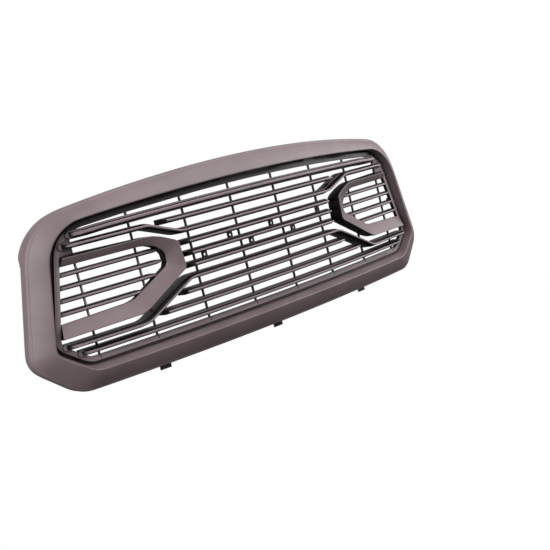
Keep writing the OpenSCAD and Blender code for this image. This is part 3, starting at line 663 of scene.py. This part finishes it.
def windowBlade(name, node, sign, z, innerX):
    h, nose, back = windowBlades["height"] / 2, windowBlades["noseProud"], blades["back"]
    edge, run = edgeX(z) + 0.5, windowBlades["endRun"]
    half = [(-back, h - 1), (-back + 0.3, h - 0.3), (-back + 1, h), (-2.2, h), (-1.6, h - 0.2),
            (nose - 1.4, h - 2.0), (nose - 0.5, h - 2.4), (nose, h - 3.1)]
    tip = windowBlades["tip"]
    xs = [innerX + tip * (1 - math.cos(math.radians(90 * i / 6))) for i in range(6)]
    xs += [innerX + tip + (edge - run - innerX - tip) * i / 8 for i in range(9)]
    xs += [edge - run * (1 - i / 8) for i in range(1, 9)]
    rings = []
    for x in xs:
        t = (x - (edge - run)) / run
        inward = max(0.0, 1 - (x - innerX) / tip)
        limit = (nose + 0.5 if t <= 0
                 else windowBlades["endProud"] + (nose - windowBlades["endProud"]) * easeDown(t))
        # the inner end narrows to a blunt point against the bracket's wall
        loop = [(min(p, limit), q * (1 - windowBlades["tipNarrow"] * inward ** 2)) for p, q in half]
        loop += [(p, -q) for p, q in reversed(loop)]
        rings.append([place(sign * x, z + q, p) for p, q in loop])
    skin(name, rings, insertPaintWithShade, [node], smoothAngle=28.0)


for sign, sideName in ((-1, "left"), (1, "right")):
    for level in range(1, 5):
        windowBlade("windowBlade%s%d" % (sideName.title(), level),
                    "window_blade_%s_%d" % (sideName, level), sign,
                    levels["middle"] + (2 - level) * pitch, windowBlades["innerX"][level - 1])
print("window blades made")

# ribs and rim webs
ribs = {"pitch": 120.0, "width": 2.8, "front": -1.0, "back": -7.0, "edge": 0.4}
webs = {"innerX": 421.0, "lowZ": 254.0, "topZ": 294.0, "front": -0.4, "back": -9.0,
        "lap": 2.0, "edge": 0.5}


def slab(name, node, outlineXz, front, back, edgeMm):
    # a flat outline in x and z, with its edges rounded
    count = len(outlineXz)
    verts = [place(x, z, p) for p in (front, back) for x, z in outlineXz]
    faces = [tuple(range(count)), tuple(range(2 * count - 1, count - 1, -1))]
    faces += [(i, (i + 1) % count, (i + 1) % count + count, i + count) for i in range(count)]
    roundEdges(addPiece(name, verts, faces, insertPaintWithShade, [node]), edgeMm, 2, 30)


for number in range(1, 9):
    x = (number - 4.5) * ribs["pitch"]
    low, high = ((corner[2] - bottomZ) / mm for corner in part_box("rib_%d" % number))
    half = ribs["width"] / 2
    slab("rib%d" % number, "rib_%d" % number,
         [(x - half, low), (x + half, low), (x + half, high), (x - half, high)],
         ribs["front"], ribs["back"], ribs["edge"])
# a web fills each top corner of the rim, outside the end rib
for sign, sideName in ((-1, "Left"), (1, "Right")):
    rise = [webs["lowZ"] + (webs["topZ"] - webs["lowZ"]) * i / 8 for i in range(9)]
    edge = [(sign * (edgeX(z) + webs["lap"]), z) for z in rise]
    slab("rimWeb" + sideName, "insert_frame",
         [(sign * webs["innerX"], webs["topZ"]), (sign * webs["innerX"], webs["lowZ"])] + edge,
         webs["front"], webs["back"], webs["edge"])
print("ribs and rim webs made")

# moulded parts that keep the CAD's own shape
softened = {
    "insert_frame": (rimPaintWithLipShadow, "satin_black", 0.7), "badge_tabs": (insertPaintWithShade, "satin_black", 0.4),
    "lower_tab_left": (nylon, "satin_black", 0.6), "lower_tab_centre": (nylon, "satin_black", 0.6),
    "lower_tab_right": (nylon, "satin_black", 0.6), "upper_mount_left": (nylon, "satin_black", 0.6),
    "upper_mount_right": (nylon, "satin_black", 0.6), "side_locator_left": (nylon, "satin_black", 0.7),
    "side_locator_right": (nylon, "satin_black", 0.7), "insert_screws": (zinc, "screw_steel", 0.25),
    "bracket_screws": (zinc, "screw_steel", 0.25),
}  # material, slot, edge radius in mm
for node, (material, slotName, edgeMm) in softened.items():
    words = node.split("_")
    softenedCopy(node, material, edgeMm, words[0] + "".join(w.title() for w in words[1:]))
print("moulded parts made")

# camera
view = {"azimuth": -38.529, "elevation": 6.654, "roll": -13.827, "distance": 1.75194,
        "aim": (0.00316, -0.078, -0.221), "lensMm": 53.084, "sensorMm": 36.0}


def addCamera():
    a, e, r = (math.radians(view[k]) for k in ("azimuth", "elevation", "roll"))
    back = Vector((math.sin(a) * math.cos(e), -math.cos(a) * math.cos(e), math.sin(e)))
    right = (-back).cross(Vector((0, 0, 1))).normalized()
    up = right.cross(-back)
    turnedRight = math.cos(r) * right + math.sin(r) * up
    turnedUp = -math.sin(r) * right + math.cos(r) * up
    data = bpy.data.cameras.new("camera")
    data.lens = view["lensMm"]
    data.sensor_width = view["sensorMm"]
    camera = bpy.data.objects.new("camera", data)
    axes = Matrix((turnedRight, turnedUp, back)).transposed().to_4x4()
    camera.matrix_world = Matrix.Translation(Vector(view["aim"]) + back * view["distance"]) @ axes
    bpy.context.scene.collection.objects.link(camera)
    bpy.context.scene.camera = camera


addCamera()

# stage and light
studio = {
    "floorDrop": 0.5, "floorRadius": 40.0, "floorHex": "#f6f6f6",
    "floorGlow": 0.97, "floorFade": (1.0, 4.0),  # in metres, out to where the floor is pure white
    # how brightly the room lights the object from above and from below
    "skyLight": 0.46, "groundLight": 0.09,
    # azimuth, elevation, distance, size, watts
    "keyBox": (-78, 20, 2.0, 1.8, 32.0),
    "fillBox": (24, 46, 3.0, 2.2, 49.0),
    "endBox": (64, 18, 1.9, 1.5, 23.0),
}


def addFloor():
    build = bmesh.new()
    bmesh.ops.create_circle(build, cap_ends=True, segments=96, radius=studio["floorRadius"])
    mesh = bpy.data.meshes.new("floor")
    build.to_mesh(mesh)
    build.free()
    floor = bpy.data.objects.new("floor", mesh)
    floor.location = (0, 0, cadBox[0][2] - studio["floorDrop"])
    floor.visible_diffuse = floor.visible_glossy = False
    mat, tree, coords = newMaterial("paleStudioFloor")
    distance = addNode(tree, "ShaderNodeVectorMath", {"operation": "LENGTH"}, {0: coords})
    fade = ramp(tree, distance.outputs["Value"], studio["floorFade"], (studio["floorGlow"], 1.0))
    near = addNode(tree, "ShaderNodeBsdfPrincipled",
                   {"Base Color": linear(studio["floorHex"]), "Roughness": 0.9})
    lit = addNode(tree, "ShaderNodeEmission", {"Color": (1, 1, 1, 1), "Strength": 1.0})
    mixed = addNode(tree, "ShaderNodeMixShader", None,
                    {0: fade, 1: near.outputs[0], 2: lit.outputs[0]})
    addNode(tree, "ShaderNodeOutputMaterial", None, {"Surface": mixed.outputs[0]})
    mesh.materials.append(mat)
    bpy.context.scene.collection.objects.link(floor)


def addSoftbox(name, azimuth, elevation, distance, size, watts):
    a, e = math.radians(azimuth), math.radians(elevation)
    aim = Vector(view["aim"])
    back = Vector((math.sin(a) * math.cos(e), -math.cos(a) * math.cos(e), math.sin(e)))
    data = bpy.data.lights.new(name, "AREA")
    data.shape = "SQUARE"
    data.size = size
    data.energy = watts
    lamp = bpy.data.objects.new(name, data)
    lamp.location = aim + back * distance
    lamp.rotation_euler = back.to_track_quat("Z", "Y").to_euler()
    bpy.context.scene.collection.objects.link(lamp)


def addWorld():
    # white to the camera; to the object, a room that is brighter above than below
    world = bpy.data.worlds.new("studioWhite")
    world.use_nodes = True
    tree = world.node_tree
    tree.nodes.clear()
    seen = addNode(tree, "ShaderNodeLightPath").outputs["Is Camera Ray"]
    height = addNode(tree, "ShaderNodeSeparateXYZ", None,
                     {0: addNode(tree, "ShaderNodeTexCoord").outputs["Generated"]}).outputs["Z"]
    room = ramp(tree, height, (-0.35, 0.7), (studio["groundLight"], studio["skyLight"]))
    strength = addNode(tree, "ShaderNodeMapRange", {"To Max": 1.0},
                       {"Value": seen, "To Min": room})
    light = addNode(tree, "ShaderNodeBackground", {"Color": (1, 1, 1, 1)},
                    {"Strength": strength.outputs[0]})
    addNode(tree, "ShaderNodeOutputWorld", None, {"Surface": light.outputs[0]})
    bpy.context.scene.world = world


addFloor()
for boxName in ("keyBox", "fillBox", "endBox"):
    addSoftbox(boxName, *studio[boxName])
addWorld()
bpy.context.scene.view_settings.view_transform = "Standard"
print("stage and light set")
